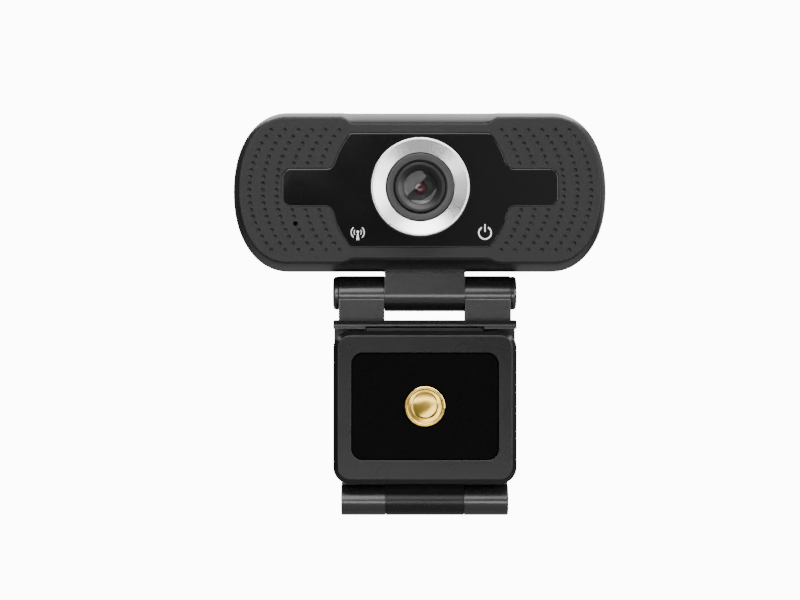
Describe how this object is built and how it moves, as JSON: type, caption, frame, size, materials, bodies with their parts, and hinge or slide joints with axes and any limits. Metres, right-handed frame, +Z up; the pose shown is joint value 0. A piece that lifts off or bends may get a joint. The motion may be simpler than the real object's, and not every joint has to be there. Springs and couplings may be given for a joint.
{
  "type": "clip-on webcam",
  "caption": "Wide camera head with a central lens, on a swivel and tilt neck over a folding monitor clip whose leg has a rubber foot and a tripod thread.",
  "frame": {"origin": "centre of the tripod thread's mouth, at the front rim of the leg", "axes": "+Z up, -Y the way the camera looks and the way the thread opens, +X to the right in the front view"},
  "size_m": [0.0747, 0.026, 0.0813],
  "materials": {
    "shell": "satin black, fine texture",
    "fascia": "matt black, dimpled at both ends",
    "panel": "gloss black",
    "silver": "bright, turned",
    "barrel": "satin black",
    "glass": "coated",
    "inner_plastic": "matt",
    "filter": "pink coated glass",
    "sensor": "glossy",
    "board": "green solder mask",
    "chip": "matt",
    "connector": "ivory nylon",
    "steel": "plain",
    "black_screw": "blackened",
    "lamp": "clear",
    "clear": "clear acrylic",
    "symbol": "printed, pale grey",
    "rubber": "matt black",
    "clip": "satin black, fine texture",
    "washer": "acetal",
    "brass": "turned, bright"
  },
  "bodies": {
    "leg": {"leg_frame": "clip", "rubber_foot": "rubber", "leg_grip_pad": "rubber", "tripod_insert": "brass", "fold_friction_sleeve": "steel"},
    "arm": {"clip_arm": "clip", "arm_grip_pad": "rubber", "tilt_pin": "steel", "tilt_caps": "clip", "fold_pin": "steel"},
    "neck": {"neck_block": "clip", "swivel_washer": "washer", "swivel_retainer": "steel", "swivel_screw": "steel", "tilt_friction_sleeve": "steel"},
    "head": {"rear_housing": "shell", "front_fascia": "fascia", "glossy_panel": "panel", "lens_trim_ring": "silver", "lens_barrel": "barrel", "lens_cell": "barrel", "front_lens": "glass", "aperture_disc": "barrel", "inner_lens": "glass", "lens_holder": "inner_plastic", "ir_cut_filter": "filter", "image_sensor": "sensor", "main_board": "board", "video_processor": "chip", "cable_connector": "connector", "board_parts": "chip", "board_screws": "steel", "case_screws": "black_screw", "status_leds": "lamp", "light_guides": "clear", "signal_symbol": "symbol", "power_symbol": "symbol", "mic_capsule": "steel", "mic_boot": "rubber", "cable_grommet": "rubber"}
  },
  "joints": [
    {"name": "clip_open", "type": "hinge", "parent": "leg", "child": "arm", "pos_m": [0, 0.0064, -0.0193], "axis": [-1, 0, 0], "range_deg": [0, 180]},
    {"name": "head_tilt", "type": "hinge", "parent": "arm", "child": "neck", "pos_m": [0, 0.0064, 0.0227], "axis": [1, 0, 0], "range_deg": [-90, 30]},
    {"name": "head_swivel", "type": "hinge", "parent": "neck", "child": "head", "pos_m": [0, 0.0064, 0.0268], "axis": [0, 0, 1], "range_deg": [-180, 180]}
  ]
}
